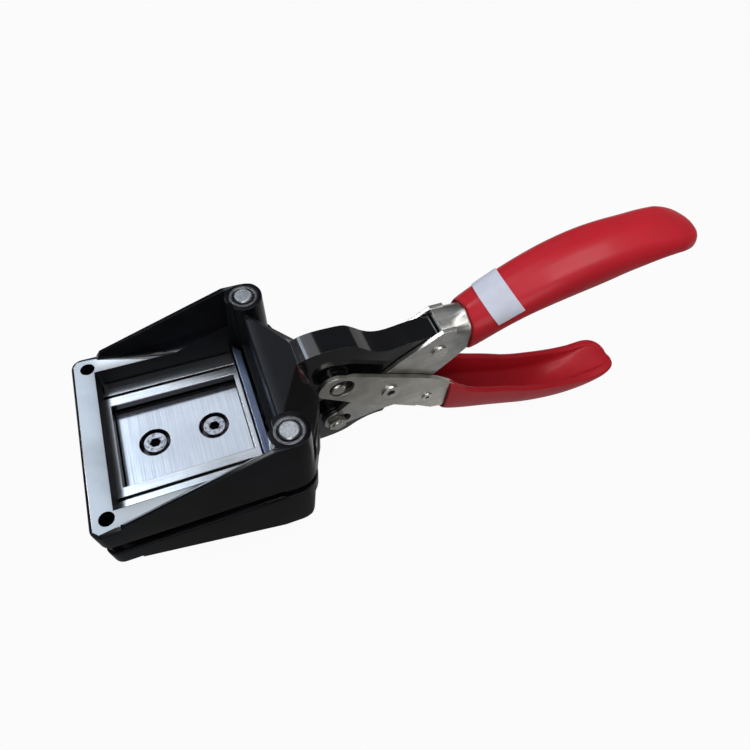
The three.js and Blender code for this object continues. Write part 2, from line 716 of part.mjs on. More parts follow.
// The last stretch of a grip closes in a round tip, seen from above and from the side.
function roundTip(sections) {
  const after = sections[sections.length - 1];
  const startX = after.x - gripTip;
  const straight = sections.filter(({ x }) => x < startX);
  const before = straight[straight.length - 1];
  for (let i = 0; i <= tipSteps; i += 1) {
    const a = (Math.PI / 2) * tipTurnShare * (i / tipSteps);
    const x = startX + gripTip * Math.sin(a);
    const share = (x - before.x) / (after.x - before.x);
    const [closed, open, halfWidth] = ['closed', 'open', 'halfWidth'].map(
      (key) => THREE.MathUtils.lerp(before[key], after[key], share));
    const middle = (closed + open) / 2;
    const taper = Math.cos(a) ** tipBluntness;
    const squeeze = Math.sqrt(Math.cos(a));
    straight.push(section([x, middle + (closed - middle) * squeeze, middle + (open - middle) * squeeze,
      halfWidth * taper], after.corner, after.crown * taper));
  }
  return straight;
}

function gripSections(table, end = table[table.length - 1][0]) {
  return sectionsAlong(table, end, gripCorner, gripCrown);
}

// The sheet inside the vinyl follows the grip's own sections, one skin thickness in from its surface.
function coreSections(table) {
  return gripSections(table, table[table.length - 1][0] - steelStopsBefore);
}

function handleSheet(bare, grip, thickness, corner) {
  const shown = bare.map((row) => section(row, corner, 0));
  return channel([...shown, ...coreSections(grip).map((row) => setIn(row, vinyl, vinyl))], thickness);
}

// The hollow under a grip grows shallow towards the tip and ends in a flat.
function gripBody(table, thickness) {
  const end = table[table.length - 1][0];
  const hollowShareAt = (x) => Math.max(THREE.MathUtils.smoothstep(end - x, 0, hollowFade), leastHollowShare);
  const skin = channel(roundTip(gripSections(table)), vinyl + thickness + gripLiner, hollowShareAt);
  const reach = vinyl - steelGap;
  const pocket = coreSections(table).map((row) => setIn(row, reach, reach));
  const mouth = { ...pocket[0], x: pocket[0].x - cutOverrun };
  const last = pocket[pocket.length - 1];
  const floor = { ...last, x: last.x + steelGap };
  return cut(skin, [channel([mouth, ...pocket, floor], thickness + steelGap + steelGap)]);
}

// A band of paper round the grip, cut square to the grip's slope and a little above its rim.
function labelBody() {
  const rows = gripSections(upperGrip).slice(0, label.rows);
  const first = rows[0];
  const last = rows[rows.length - 1];
  const slope = (last.open - first.open) / (last.x - first.x);
  const low = (x) => first.open + slope * (x - first.x) + label.aboveRim;
  const left = first.x + label.start;
  const right = left + label.width;
  const band = new THREE.Shape();
  band.moveTo(left, low(left));
  band.lineTo(right, low(right));
  band.lineTo(right - label.lean, low(right) + label.rise);
  band.lineTo(left - label.lean, low(left) + label.rise);
  const grow = label.gap + label.thickness;
  const paper = channel(rows.map((row) => setIn(row, -grow)), label.thickness);
  return paper.intersect(prismY(band, -castingHalfWidth, castingHalfWidth));
}

function upperPlateShape() {
  const slope = (upperBare[1][2] - upperBare[0][2]) / (upperBare[1][0] - upperBare[0][0]);
  const shape = new THREE.Shape();
  const [front, top, open] = upperBare[0];
  const heel = linkPivot.x + liftLugRadius / 2;
  shape.moveTo(front + gripStep, top);
  shape.lineTo(front, top);
  shape.lineTo(linkPivot.x + mainRivet.head, mainPivot.z);
  shape.lineTo(linkPivot.x - armUnderside.fromEnd, linkPivot.z - mainRivet.headHeight);
  shape.absarc(liftPivot.x + plateGap, liftPivot.z + plateGap, liftLugRadius - sheet, Math.PI / 2, Math.PI);
  shape.lineTo(liftPivot.x - liftLugRadius + sheet, liftPivot.z - handleCorner);
  shape.absarc(liftPivot.x, liftPivot.z - plateGap, liftLugRadius - sheet, Math.PI * 1.1, Math.PI * 1.5);
  shape.lineTo(linkPivot.x - handleCorner, liftPivot.z - sheet);
  shape.lineTo(heel, open - slope * (front - heel) + sheet / 2);
  shape.lineTo(front + gripStep, open + slope * gripStep);
  return shape;
}

function upperHandle() {
  const inner = upperSheetHalfWidth - sheet;
  const plates = [-1, 1].map((side) => prismY(upperPlateShape(),
    Math.min(side * inner, side * upperSheetHalfWidth), Math.max(side * inner, side * upperSheetHalfWidth)));
  const holes = [
    rodY(mainRivet.radius + pressGap, mainPivot.x, mainPivot.z, castingHalfWidth),
    rodY(linkRivet.radius + pressGap, linkPivot.x, linkPivot.z, castingHalfWidth),
    slotFor(liftPivot, liftSlot),
  ];
  return cut(join([...plates, handleSheet(upperBare, upperGrip, sheet, handleCorner)]), holes);
}

function lowerPlateShape() {
  const shape = new THREE.Shape();
  const [front, closed, open] = lowerBare[0];
  const lobe = fulcrumSlot.length / 2 + sheet;
  shape.moveTo(front + sheet, open - sheet / 2);
  shape.lineTo(fulcrum.x + lobe, fulcrum.z + lobe - sheet);
  shape.absarc(fulcrum.x - sheet / 2, fulcrum.z, lobe, Math.PI * 0.3, Math.PI * 1.1);
  shape.lineTo(fulcrum.x + handleCorner, linkPivot.z + handleCorner);
  shape.lineTo(linkPivot.x - handleCorner, linkPivot.z - lowerPlateDrop.heel);
  shape.lineTo(linkPivot.x + handleCorner, linkPivot.z - lowerPlateDrop.middle);
  shape.lineTo(front + sheet, closed - sheet / 2);
  return shape;
}

function lowerHandle() {
  const inner = lowerHalfSpan - lowerSheet;
  const plates = [-1, 1].map((side) => prismY(lowerPlateShape(),
    Math.min(side * inner, side * lowerHalfSpan), Math.max(side * inner, side * lowerHalfSpan)));
  const holes = [
    rodY(linkRivet.radius + plateGap, linkPivot.x, linkPivot.z, castingHalfWidth),
    rodY(springPin.radius + pressGap, springPinPlace.x, springPinPlace.z, castingHalfWidth),
    slotFor(fulcrum, fulcrumSlot),
  ];
  return cut(join([...plates, handleSheet(lowerBare, lowerGrip, lowerSheet, lowerHandleCorner)]), holes);
}

// Pins across the tool. A tubular rivet is open along its axis and spread over both outer plates.
function headedPin({ radius, bore = 0, head, headHeight }, x, z, halfSpan) {
  const tip = halfSpan + headHeight;
  const rim = head - pinChamfer / 2;
  const profile = [[bore, -tip], [rim, -tip], [head, -halfSpan], [radius, -halfSpan], [radius, halfSpan],
    [head, halfSpan], [rim, tip], [bore, tip]];
  return turnedY(bore > 0 ? [...profile, profile[0]] : profile, x, z);
}

function fulcrumPin() {
  const tip = lowerHalfSpan + fulcrumPinProud;
  const slim = fulcrumPinRadius - pinChamfer;
  return turnedY([[0, -tip], [slim, -tip], [fulcrumPinRadius, pinChamfer - tip], [fulcrumPinRadius, tip - pinChamfer],
    [slim, tip], [0, tip]], fulcrum.x, fulcrum.z);
}

function liftBoltBody() {
  const head = upperSheetHalfWidth + plateGap;
  const tip = head + nut.height + pinChamfer;
  return turnedY([[0, -tip], [liftBolt.radius - pinChamfer, -tip], [liftBolt.radius, pinChamfer - tip],
    [liftBolt.radius, head], [liftBolt.head, head], [liftBolt.head, head + liftBolt.headHeight - pinChamfer],
    [liftBolt.head - pinChamfer, head + liftBolt.headHeight], [0, head + liftBolt.headHeight]], liftPivot.x, liftPivot.z);
}

function liftNutBody() {
  const face = upperSheetHalfWidth + plateGap;
  const radius = nut.acrossFlats / Math.sqrt(3);
  const blank = turnedY([[0, -face - nut.height], [radius, -face - nut.height], [radius, -face], [0, -face]],
    liftPivot.x, liftPivot.z, 6);
  return cut(blank, [rodY(liftBolt.radius + pressGap, liftPivot.x, liftPivot.z, castingHalfWidth)]);
}

addPiece('upper_casting', upperCasting(), 'blackEnamel');
addPiece('die_plate', diePlate(), 'groundSteel');
addPiece('stop_bar', stopBarBody(), 'groundSteel');
dieScrewPlaces().forEach(([x, y], i) => addPiece(`die_screw_${i + 1}`, dieScrewBody(x, y), 'blackOxide'));
addPiece('fulcrum_pin', fulcrumPin(), 'brightSteel');
addPiece('lower_casting', lowerCasting(), 'blackEnamel');
addPiece('punch_block', punchBlock(), 'groundSteel');
for (const [name, side] of [['right', -1], ['left', 1]]) {
  addPiece(`guide_bush_${name}`, bushBody(side), 'brightSteel');
  addPiece(`guide_post_${name}`, postBody(side), 'brightSteel');
  addPiece(`return_spring_${name}`, springBody(side), 'brightSteel');
}
for (const [name, side] of [['front', -1], ['rear', 1]]) {
  addPiece(`punch_screw_${name}`, punchScrewBody(side), 'blackOxide');
}
addPiece('lift_bolt', liftBoltBody(), 'brightSteel');
addPiece('lift_nut', liftNutBody(), 'brightSteel');
addPiece('upper_handle', upperHandle(), 'nickel');
addPiece('upper_grip', gripBody(upperGrip, sheet), 'redVinyl');
addPiece('size_label', labelBody(), 'whitePaper');
addPiece('main_rivet', headedPin(mainRivet, mainPivot.x, mainPivot.z, upperSheetHalfWidth), 'brightSteel');
addPiece('link_rivet', headedPin(linkRivet, linkPivot.x, linkPivot.z, lowerHalfSpan), 'brightSteel');
addPiece('lower_handle', lowerHandle(), 'nickel');
addPiece('lower_grip', gripBody(lowerGrip, lowerSheet), 'redVinyl');
addPiece('spring_pin', headedPin(springPin, springPinPlace.x, springPinPlace.z, lowerHalfSpan), 'brightSteel');

console.log(`least gap between spring curls: ${leastSpringGap().toFixed(2)} mm`);
tool.position.set(-(castingFront + windowFront) / 2, 0, -padTop);
const photoPunch = new THREE.Group();
photoPunch.add(tool);

export default photoPunch;
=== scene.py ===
# %% [markdown]
# A photo punch: a pair of red handled pliers whose jaws are two black enamelled castings. The lower
# casting carries a ground steel punch, the upper one a steel die with a 40 x 30 mm opening. The packed
# CAD model is the fixed frame. Everything here is in metres and in the same place as the CAD pieces.

# %% Load the frame
import bmesh
import bpy
import json
import math
from mathutils import Matrix, Vector

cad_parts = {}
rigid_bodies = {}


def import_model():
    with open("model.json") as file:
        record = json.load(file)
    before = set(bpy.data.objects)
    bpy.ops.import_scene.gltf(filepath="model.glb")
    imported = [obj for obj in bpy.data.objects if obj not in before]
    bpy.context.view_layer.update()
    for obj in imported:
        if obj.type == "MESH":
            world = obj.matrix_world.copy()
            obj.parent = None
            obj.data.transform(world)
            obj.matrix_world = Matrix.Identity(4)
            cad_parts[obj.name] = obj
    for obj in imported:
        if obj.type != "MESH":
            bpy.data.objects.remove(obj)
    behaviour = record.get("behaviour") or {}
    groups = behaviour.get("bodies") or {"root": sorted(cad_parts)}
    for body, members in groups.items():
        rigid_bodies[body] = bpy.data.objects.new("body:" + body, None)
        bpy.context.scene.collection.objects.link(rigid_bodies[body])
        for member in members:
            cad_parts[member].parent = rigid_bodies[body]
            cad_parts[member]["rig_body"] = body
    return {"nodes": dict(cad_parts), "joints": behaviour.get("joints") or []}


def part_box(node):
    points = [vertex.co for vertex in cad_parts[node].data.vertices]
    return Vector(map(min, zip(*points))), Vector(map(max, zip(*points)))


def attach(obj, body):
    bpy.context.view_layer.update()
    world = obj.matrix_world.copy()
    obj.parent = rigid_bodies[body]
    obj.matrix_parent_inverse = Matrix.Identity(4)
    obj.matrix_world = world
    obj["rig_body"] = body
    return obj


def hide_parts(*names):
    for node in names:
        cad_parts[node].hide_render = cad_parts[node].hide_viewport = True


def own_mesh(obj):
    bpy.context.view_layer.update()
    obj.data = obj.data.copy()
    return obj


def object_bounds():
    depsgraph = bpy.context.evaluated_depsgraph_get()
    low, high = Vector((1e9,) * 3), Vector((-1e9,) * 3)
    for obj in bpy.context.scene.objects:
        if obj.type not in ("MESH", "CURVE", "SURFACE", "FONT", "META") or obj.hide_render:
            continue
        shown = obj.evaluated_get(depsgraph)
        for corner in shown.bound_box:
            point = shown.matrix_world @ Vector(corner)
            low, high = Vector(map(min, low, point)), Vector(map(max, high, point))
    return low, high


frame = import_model()
cad_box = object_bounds()
nodes = frame["nodes"]
MM = 0.001
print("CAD nodes:", len(nodes))

# %% [markdown]
# The camera stands very close, above the near left corner of the tool, so the jaws look large and the
# handles run away into the picture. Its place, its aim and its roll were worked out from straight edges
# of known size on the die plate and the castings. A wide lens on a near camera gives that perspective.

# %% Camera
CAMERA_PLACE = Vector((40.74, -99.41, 150.96)) * MM
CAMERA_TARGET = Vector((91.50, -1.25, -6.90)) * MM
CAMERA_ROLL = math.radians(7.04)
CAMERA_LENS = 26.28
FILM_WIDTH = 36
NEAREST_SEEN = 5 * MM


def add_object(name, data):
    made = bpy.data.objects.new(name, data)
    bpy.context.scene.collection.objects.link(made)
    return made


def make_camera():
    look = (CAMERA_TARGET - CAMERA_PLACE).normalized()
    side = look.cross(Vector((0, 0, 1))).normalized()
    above = side.cross(look)
    right = math.cos(CAMERA_ROLL) * side + math.sin(CAMERA_ROLL) * above
    up = math.cos(CAMERA_ROLL) * above - math.sin(CAMERA_ROLL) * side
    turn = Matrix((right, up, -look)).transposed().to_4x4()
    camera = add_object("camera", bpy.data.cameras.new("camera"))
    camera.data.sensor_width = FILM_WIDTH
    camera.data.lens = CAMERA_LENS
    camera.data.clip_start = NEAREST_SEEN
    camera.matrix_world = Matrix.Translation(CAMERA_PLACE) @ turn
    bpy.context.scene.camera = camera


make_camera()
print("camera distance in mm:", round((CAMERA_TARGET - CAMERA_PLACE).length / MM))

# %% [markdown]
# Every finish is a node tree. Written out node by node, a tree is hard to read, so two small helpers let
# Python expressions build it: a Wire is one output socket that knows how to add, subtract and multiply,
# and a Finish is one material whose node method makes any other kind of node.

# %% Helpers for node trees
class Wire:
    def __init__(self, finish, socket):
        self.finish = finish
        self.socket = socket

    def math(self, operation, left, right):
        return self.finish.node("ShaderNodeMath", {"operation": operation}, {0: left, 1: right})

    def __add__(self, other):
        return self.math("ADD", self, other)

    def __radd__(self, other):
        return self.math("ADD", other, self)

    def __sub__(self, other):
        return self.math("SUBTRACT", self, other)

    def __rsub__(self, other):
        return self.math("SUBTRACT", other, self)

    def __mul__(self, other):
        return self.math("MULTIPLY", self, other)

    def __abs__(self):
        return self.math("ABSOLUTE", self, 0)

    def at_least(self, other):
        return self.math("MAXIMUM", self, other)

    def at_most(self, other):
        return self.math("MINIMUM", self, other)

    def between(self, low, high):
        return self.finish.node("ShaderNodeMapRange", {"clamp": True}, {
            "Value": self, "From Min": low, "From Max": high, "To Min": 0.0, "To Max": 1.0})


class Finish:
    def __init__(self, name, **constants):
        self.material = bpy.data.materials.new(name)
        self.material.use_nodes = True
        self.tree = self.material.node_tree
        self.tree.nodes.clear()
        self.surface = self.tree.nodes.new("ShaderNodeBsdfPrincipled")
        self.out = self.tree.nodes.new("ShaderNodeOutputMaterial")
        self.tree.links.new(self.surface.outputs[0], self.out.inputs["Surface"])
        for socket, value in constants.items():
            self.surface.inputs[socket.replace("_", " ")].default_value = value

    def put(self, socket, value):
        if isinstance(value, Wire):
            self.tree.links.new(value.socket, socket)
        else:
            socket.default_value = value

    def node(self, kind, settings=None, inputs=None, output=0):
        made = self.tree.nodes.new(kind)
        for name, value in (settings or {}).items():
            setattr(made, name, value)
        for name, value in (inputs or {}).items():
            self.put(made.inputs[name], value)
        return Wire(self, made.outputs[output])

    def set(self, **wires):
        for socket, value in wires.items():
            self.put(self.surface.inputs[socket.replace("_", " ")], value)
        return self.material


print("node helpers ready")

# %% [markdown]
# A few patterns serve many finishes. Clouds are noise in Object coordinates, which are metres here, so a
# scale of 1000 is a pattern about one millimetre wide. Streaks are the same noise, stretched along one
# axis. A worn edge is found by comparing the true normal with the rounded one of a Bevel node: they agree
# on a flat face and differ along a sharp edge.

# %% Shared patterns
COLOUR_A, COLOUR_B, COLOUR_RESULT = 6, 7, 2
BEVEL_SAMPLES = 4
EDGE_STARTS, EDGE_FULL = 0.02, 0.25


def place_of(finish):
    return finish.node("ShaderNodeTexCoord", output="Object")


def along(finish, axis):
    return finish.node("ShaderNodeSeparateXYZ", inputs={"Vector": place_of(finish)}, output=axis)


def clouds(finish, scale, detail=3.0, stretch=(1, 1, 1)):
    spread = finish.node("ShaderNodeMapping", inputs={"Vector": place_of(finish), "Scale": stretch})
    return finish.node("ShaderNodeTexNoise", inputs={"Vector": spread, "Scale": scale, "Detail": detail})


def blend_colour(finish, share, first, second):
    return finish.node("ShaderNodeMix", {"data_type": "RGBA"},
                       {0: share, COLOUR_A: first, COLOUR_B: second}, output=COLOUR_RESULT)


def rounded(finish, radius):
    return finish.node("ShaderNodeBevel", {"samples": BEVEL_SAMPLES}, {"Radius": radius})


def worn_edge(finish, radius):
    true = finish.node("ShaderNodeNewGeometry", output="True Normal")
    agree = finish.node("ShaderNodeVectorMath", {"operation": "DOT_PRODUCT"},
                        {0: rounded(finish, radius), 1: true}, output="Value")
    return (1 - agree).between(EDGE_STARTS, EDGE_FULL)


def bumped(finish, height, depth, radius):
    return finish.node("ShaderNodeBump", inputs={
        "Strength": 1.0, "Distance": depth, "Height": height, "Normal": rounded(finish, radius)})


print("patterns ready")

# %% [markdown]
# The castings are dipped or sprayed in black enamel and baked. Enamel is dark, very glossy, and its skin
# is a little uneven, like the peel of an orange, because it flowed before it set. It draws back from sharp
# edges, so they are rounder and slightly paler. A plain black would look like plastic; the slight waves
# are what break up the reflections of the lamps. In the window and on the hipped block behind it the
# enamel is thin and dull. The flat pad in front, whose face is at height zero, has a high polish, and the
# bar at the rear, where a hand rubs it, has some of it.

# %% Black enamel
ENAMEL_BLACK = (0.003, 0.0032, 0.004, 1)
ENAMEL_SMUDGED = (0.006, 0.0065, 0.009, 1)
ENAMEL_PALE_EDGE = (0.05, 0.055, 0.065, 1)
WINDOW_FRONT, WINDOW_REAR, WINDOW_SIDE = 3.3 * MM, 53.2 * MM, 24.75 * MM
DECK_FRONT, DECK_REAR, DECK_SIDE, DECK_FADE = 52 * MM, 69 * MM, 23 * MM, 4 * MM
BAR_FRONT, BAR_REAR, BAR_SIDE = 63 * MM, 140 * MM, 9 * MM
PAD_FRONT, PAD_SIDE = -3.0 * MM, 31.0 * MM
PAD_UNDER, PAD_FROM, PAD_TO, PAD_OVER = -0.5 * MM, -0.1 * MM, 0.2 * MM, 1.0 * MM


def inside(finish, front, rear, side, fade=0.05 * MM):
    forward = along(finish, "X")
    share = forward.between(front, front + fade) * forward.between(rear, rear - fade)
    return share * abs(along(finish, "Y")).between(side, side - fade)


def polished_pad(finish):
    height = along(finish, "Z")
    level = height.between(PAD_UNDER, PAD_FROM) * height.between(PAD_OVER, PAD_TO)
    return level * inside(finish, PAD_FRONT, WINDOW_REAR, PAD_SIDE)


def black_enamel(name):
    finish = Finish(name, Metallic=0.0, Specular_IOR_Level=0.14, Coat_IOR=2.2, Coat_Roughness=0.09)
    peel = clouds(finish, scale=420, detail=2.0)
    grit = clouds(finish, scale=3000, detail=2.0)
    smudge = clouds(finish, scale=60, detail=4.0).between(0.42, 0.68)
    edge = worn_edge(finish, 0.5 * MM)
    window = inside(finish, WINDOW_FRONT, WINDOW_REAR, WINDOW_SIDE)
    thin = window.at_least(inside(finish, DECK_FRONT, DECK_REAR, DECK_SIDE, DECK_FADE))
    polish = polished_pad(finish) + inside(finish, BAR_FRONT, BAR_REAR, BAR_SIDE) * 0.5
    colour = blend_colour(finish, smudge, ENAMEL_BLACK, ENAMEL_SMUDGED)
    colour = blend_colour(finish, edge * 0.5, colour, ENAMEL_PALE_EDGE)
    return finish.set(
        Base_Color=colour,
        Roughness=0.09 + smudge * 0.06 + edge * 0.12 + thin * 0.45,
        Coat_Weight=(polish * (1 - window) * (0.95 - smudge * 0.2)).at_most(1),
        Normal=bumped(finish, peel + grit * 0.08, depth=0.012 * MM, radius=0.55 * MM))


upper_enamel = black_enamel("black_enamel_upper")
lower_enamel = black_enamel("black_enamel_lower")
print("enamel:", upper_enamel.name, lower_enamel.name)

# %% [markdown]
# The die plate, the stop bar and the punch are ground flat. A grinding wheel leaves fine parallel lines
# that are far longer than they are wide, so their noise is squeezed hard across the lines. The lines
# change the roughness as well as the surface, which gives steel its dull and bright bands. Only the upper
# face is ground. Below it, in the screw wells and on the walls, the steel is painted dark as shade.

# %% Ground steel
ALONG_X, ALONG_Y = (0.6, 60, 60), (60, 0.6, 60)
STEEL_BRIGHT_EDGE = (0.80, 0.81, 0.82, 1)
WELL_AND_WALL_SHADE = (0.045, 0.042, 0.045, 1)
SHADE_BELOW, GROUND_ABOVE = 0.6 * MM, 0.2 * MM


def ground_steel(name, node, stretch, rough, light, dark):
    finish = Finish(name, Metallic=1.0)
    lines = clouds(finish, scale=60, detail=6.0, stretch=stretch)
    broad = clouds(finish, scale=90, detail=3.0)
    edge = worn_edge(finish, 0.35 * MM)
    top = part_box(node)[1].z
    ground = along(finish, "Z").between(top - SHADE_BELOW, top - GROUND_ABOVE)
    colour = blend_colour(finish, (lines * 0.6 + broad * 0.4).between(0.36, 0.64), dark, light)
    colour = blend_colour(finish, edge * 0.8, colour, STEEL_BRIGHT_EDGE)
    # Under the ground face, in the screw wells and on the walls, the steel is painted dark as shade.
    colour = blend_colour(finish, ground, WELL_AND_WALL_SHADE, colour)
    return finish.set(
        Base_Color=colour,
        Roughness=rough + lines * 0.10 - edge * 0.06,
        Normal=bumped(finish, lines, depth=0.004 * MM, radius=0.3 * MM))


die_steel = ground_steel("ground_steel_die", "die_plate", ALONG_X, rough=0.14,
                         light=(0.56, 0.58, 0.62, 1), dark=(0.40, 0.42, 0.45, 1))
punch_steel = ground_steel("ground_steel_punch", "punch_block", ALONG_Y, rough=0.09,
                           light=(0.54, 0.58, 0.65, 1), dark=(0.42, 0.46, 0.53, 1))
bar_steel = ground_steel("ground_steel_bar", "stop_bar", ALONG_Y, rough=0.24,
                         light=(0.14, 0.17, 0.25, 1), dark=(0.07, 0.09, 0.15, 1))
print("ground steels:", die_steel.name, punch_steel.name, bar_steel.name)

# %% [markdown]
# Posts, bushes, pins and rivets come from a lathe or a header. Their ends are finely speckled where the
# tool tore the steel, and their sides are smoother.

# %% Turned steel
TURNED_PALE_EDGE = (0.70, 0.70, 0.70, 1)


def turned_steel(name, light, dark, rough):
    finish = Finish(name, Metallic=1.0)
    speckle = clouds(finish, scale=1500, detail=5.0)
    broad = clouds(finish, scale=160, detail=2.0)
    edge = worn_edge(finish, 0.3 * MM)
    colour = blend_colour(finish, (speckle * 0.7 + broad * 0.3).between(0.4, 0.62), dark, light)
    colour = blend_colour(finish, edge * 0.35, colour, TURNED_PALE_EDGE)
    return finish.set(
        Base_Color=colour,
        Roughness=rough + speckle * 0.18,
        Normal=bumped(finish, speckle, depth=0.018 * MM, radius=0.25 * MM))


post_steel = turned_steel("turned_steel_posts", rough=0.26,
                          light=(0.54, 0.56, 0.59, 1), dark=(0.36, 0.37, 0.40, 1))
bush_steel = turned_steel("turned_steel_bushes", rough=0.24,
                          light=(0.22, 0.22, 0.23, 1), dark=(0.11, 0.11, 0.12, 1))
pin_steel = turned_steel("turned_steel_pins", rough=0.24,
                         light=(0.84, 0.82, 0.77, 1), dark=(0.60, 0.58, 0.54, 1))
spring_steel = turned_steel("spring_wire", rough=0.2,
                            light=(0.60, 0.61, 0.63, 1), dark=(0.45, 0.46, 0.48, 1))
print("turned steels ready")

# %% [markdown]
# The handles are pressed from sheet steel and nickel plated. Plating is warm beside bare steel, and the
# pressing leaves a soft, cloudy surface with a few rubbed marks along the arm.

# %% Nickel plated sheet
NICKEL_BRIGHT_EDGE = (0.86, 0.84, 0.78, 1)
ALONG_THE_ARM = (1, 40, 8)


def nickel_sheet(name, light, dark):
    finish = Finish(name, Metallic=1.0)
    cloudy = clouds(finish, scale=170, detail=5.0)
    marks = clouds(finish, scale=50, detail=5.0, stretch=ALONG_THE_ARM)
    edge = worn_edge(finish, 0.4 * MM)
    colour = blend_colour(finish, (cloudy * 0.6 + marks * 0.4).between(0.38, 0.64), dark, light)
    colour = blend_colour(finish, edge * 0.6, colour, NICKEL_BRIGHT_EDGE)
    return finish.set(
        Base_Color=colour,
        Roughness=0.24 + cloudy * 0.2,
        Normal=bumped(finish, cloudy + marks * 0.3, depth=0.03 * MM, radius=0.4 * MM))


upper_nickel = nickel_sheet("nickel_sheet_upper",
                            light=(0.72, 0.715, 0.68, 1), dark=(0.50, 0.495, 0.47, 1))
lower_nickel = nickel_sheet("nickel_sheet_lower",
                            light=(0.74, 0.725, 0.66, 1), dark=(0.52, 0.51, 0.46, 1))
print("plated sheets ready")

# %% [markdown]
# The grips are dipped in liquid red vinyl and baked. Vinyl is soft and half glossy. It runs a little
# before it sets, so its skin carries long shallow waves, and its colour is a shade deeper where it is
# thick. Handling leaves duller patches and fine dark specks.

# %% Red vinyl
VINYL_THICK = (0.47, 0.011, 0.020, 1)
VINYL_THIN = (0.58, 0.018, 0.030, 1)
VINYL_DULL = (0.34, 0.012, 0.020, 1)
VINYL_SPECK = (0.36, 0.03, 0.04, 1)


def red_vinyl(name):
    finish = Finish(name, Metallic=0.0, Specular_IOR_Level=0.22, Coat_Roughness=0.12)
    waves = clouds(finish, scale=45, detail=2.0)
    dull = clouds(finish, scale=110, detail=1.0)
    specks = clouds(finish, scale=300, detail=1.0).between(0.55, 0.8)
    colour = blend_colour(finish, waves, VINYL_THICK, VINYL_THIN)
    colour = blend_colour(finish, dull * 0.25, colour, VINYL_DULL)
    colour = blend_colour(finish, specks * 0.3, colour, VINYL_SPECK)
    return finish.set(
        Base_Color=colour,
        Roughness=0.36 + dull * 0.12,
        Coat_Weight=0.14 - dull * 0.1,
        Normal=bumped(finish, waves, depth=0.18 * MM, radius=0.8 * MM))


upper_vinyl = red_vinyl("red_vinyl_upper")
lower_vinyl = red_vinyl("red_vinyl_lower")
print("vinyl:", upper_vinyl.name, lower_vinyl.name)

# %% [markdown]
# The paper label on the upper grip is matt and a little soiled by hands, with fibres that only show as a
# faint unevenness. It is left bare, because the part carries no lettering of its own.

# %% White paper
PAPER_CLEAN = (0.62, 0.64, 0.74, 1)
PAPER_SOILED = (0.52, 0.53, 0.60, 1)


def white_paper(name):
    finish = Finish(name, Metallic=0.0)
    fibre = clouds(finish, scale=1800, detail=4.0)
    soil = clouds(finish, scale=140, detail=3.0).between(0.5, 0.75)
    return finish.set(
        Base_Color=blend_colour(finish, soil * 0.5, PAPER_CLEAN, PAPER_SOILED),
        Roughness=0.62 + fibre * 0.2,
        Normal=bumped(finish, fibre, depth=0.01 * MM, radius=0.1 * MM))


label_paper = white_paper("white_paper_label")
print("paper:", label_paper.name)

# %% [markdown]
# A CAD node comes in as loose triangles, so its curved faces look faceted. Each visible piece is therefore
# a copy whose doubled corners are merged, whose faces are smooth, and whose true edges are marked sharp by
# their angle. The copy replaces the node and rides on the same body, so the joints still carry it. The
# broad faces of the castings must stay flat beside their small roundings, so their normals are weighed by
# area.

# %% Smooth copies of the CAD pieces
MERGE_DISTANCE, SLIVER = 0.002 * MM, 0.001 * MM
AREA_ONLY = 100
CAST_SHARP, TURNED_SHARP, SHEET_SHARP, PAPER_SHARP, VINYL_SHARP = 30, 16, 28, 40, 60


def body_of(node):
    return nodes[node]["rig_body"]


def merged_copy(node, name):
    mesh = nodes[node].data.copy()
    mesh.name = name
    work = bmesh.new()
    work.from_mesh(mesh)
    bmesh.ops.remove_doubles(work, verts=work.verts, dist=MERGE_DISTANCE)
    bmesh.ops.dissolve_degenerate(work, dist=SLIVER, edges=work.edges)
    work.to_mesh(mesh)
    work.free()
    if "custom_normal" in mesh.attributes:
        mesh.attributes.remove(mesh.attributes["custom_normal"])
    return add_object(name, mesh)


def smooth(mesh, sharp_degrees):
    mesh.polygons.foreach_set("use_smooth", [True] * len(mesh.polygons))
    mesh.set_sharp_from_angle(angle=math.radians(sharp_degrees))


def flatten_broad_faces(piece):
    weigh = piece.modifiers.new("weigh", "WEIGHTED_NORMAL")
    weigh.weight = AREA_ONLY
    weigh.keep_sharp = True
    seen = piece.evaluated_get(bpy.context.evaluated_depsgraph_get())
    mesh = bpy.data.meshes.new_from_object(seen)
    piece.modifiers.clear()
    piece.data = mesh


def dress(piece, node, material, sharp_degrees):
    mesh = piece.data
    mesh.materials.clear()
    mesh.materials.append(material)
    mesh.polygons.foreach_set("material_index", [0] * len(mesh.polygons))
    smooth(mesh, sharp_degrees)
    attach(piece, body_of(node))
    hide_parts(node)
    return piece


def finish_node(node, material, sharp_degrees):
    return dress(merged_copy(node, node + "_finished"), node, material, sharp_degrees)


for node, material in (("upper_casting", upper_enamel), ("lower_casting", lower_enamel)):
    flatten_broad_faces(finish_node(node, material, CAST_SHARP))
print("castings finished")

# %% [markdown]
# The ground pieces keep their crisp outlines. Only their finish changes, and the edge rounding inside the
# material gives them the thin bright rims that the grinding leaves.

# %% Die plate, stop bar and punch
for node, material in (("die_plate", die_steel), ("stop_bar", bar_steel), ("punch_block", punch_steel)):
    flatten_broad_faces(finish_node(node, material, CAST_SHARP))
print("die set finished")

# %% [markdown]
# The two guide posts stand in the lower casting and slide in bushes pressed into the upper one. Their
# chamfers and the domes of the pins turn by small steps, so their edges count as sharp at a small angle.

# %% Guides, pins and rivets
for side in ("right", "left"):
    finish_node("guide_post_" + side, post_steel, TURNED_SHARP)
    finish_node("guide_bush_" + side, bush_steel, TURNED_SHARP)
for node in ("fulcrum_pin", "main_rivet", "link_rivet", "spring_pin", "lift_bolt", "lift_nut"):
    finish_node(node, pin_steel, TURNED_SHARP)
print("guides and pivots finished")

# %% [markdown]
# The two handles are bent from sheet. The label is a thin sleeve of paper round the upper grip.

